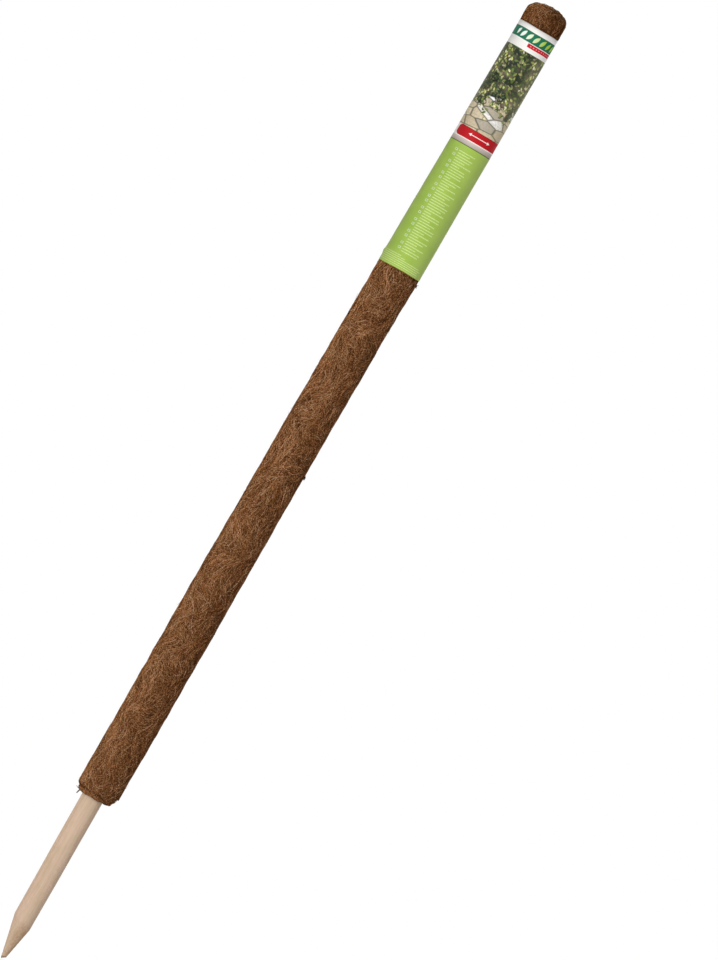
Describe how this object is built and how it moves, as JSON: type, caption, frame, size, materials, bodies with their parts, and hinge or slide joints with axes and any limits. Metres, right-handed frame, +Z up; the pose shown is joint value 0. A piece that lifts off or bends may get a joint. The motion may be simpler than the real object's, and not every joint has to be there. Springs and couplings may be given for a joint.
{
  "type": "coir plant support pole",
  "caption": "Straight plant support pole: pointed wooden stake wrapped in coir matting, with a domed coir top and a pull-off paper band, pushed into soil for climbing plants.",
  "frame": {"origin": "on the stake's axis at the soil line, where the coir begins", "axes": "+Z up the pole to its domed top, -Z down the bare stake to its point, -Y the front of the paper band, +Y the back with the band's lap and the outer seam"},
  "size_m": [0.0454, 0.046, 1.1],
  "materials": {
    "stake_wood": "matte",
    "coir": "matte",
    "band_paper": "satin",
    "band_glue": "satin",
    "staple_wire": "satin"
  },
  "bodies": {
    "pole": {"stake": "stake_wood", "inner_coir_mat": "coir", "outer_coir_mat": "coir", "top_coir_cap": "coir", "seam_staple_1": "staple_wire", "seam_staple_2": "staple_wire", "seam_staple_3": "staple_wire", "seam_staple_4": "staple_wire", "seam_staple_5": "staple_wire"},
    "band": {"paper_band": "band_paper", "band_glue_strip": "band_glue"}
  },
  "joints": [
    {"name": "band_slide", "type": "slide", "parent": "pole", "child": "band", "axis": [0, 0, 1], "range_m": [0, 0.31]}
  ]
}
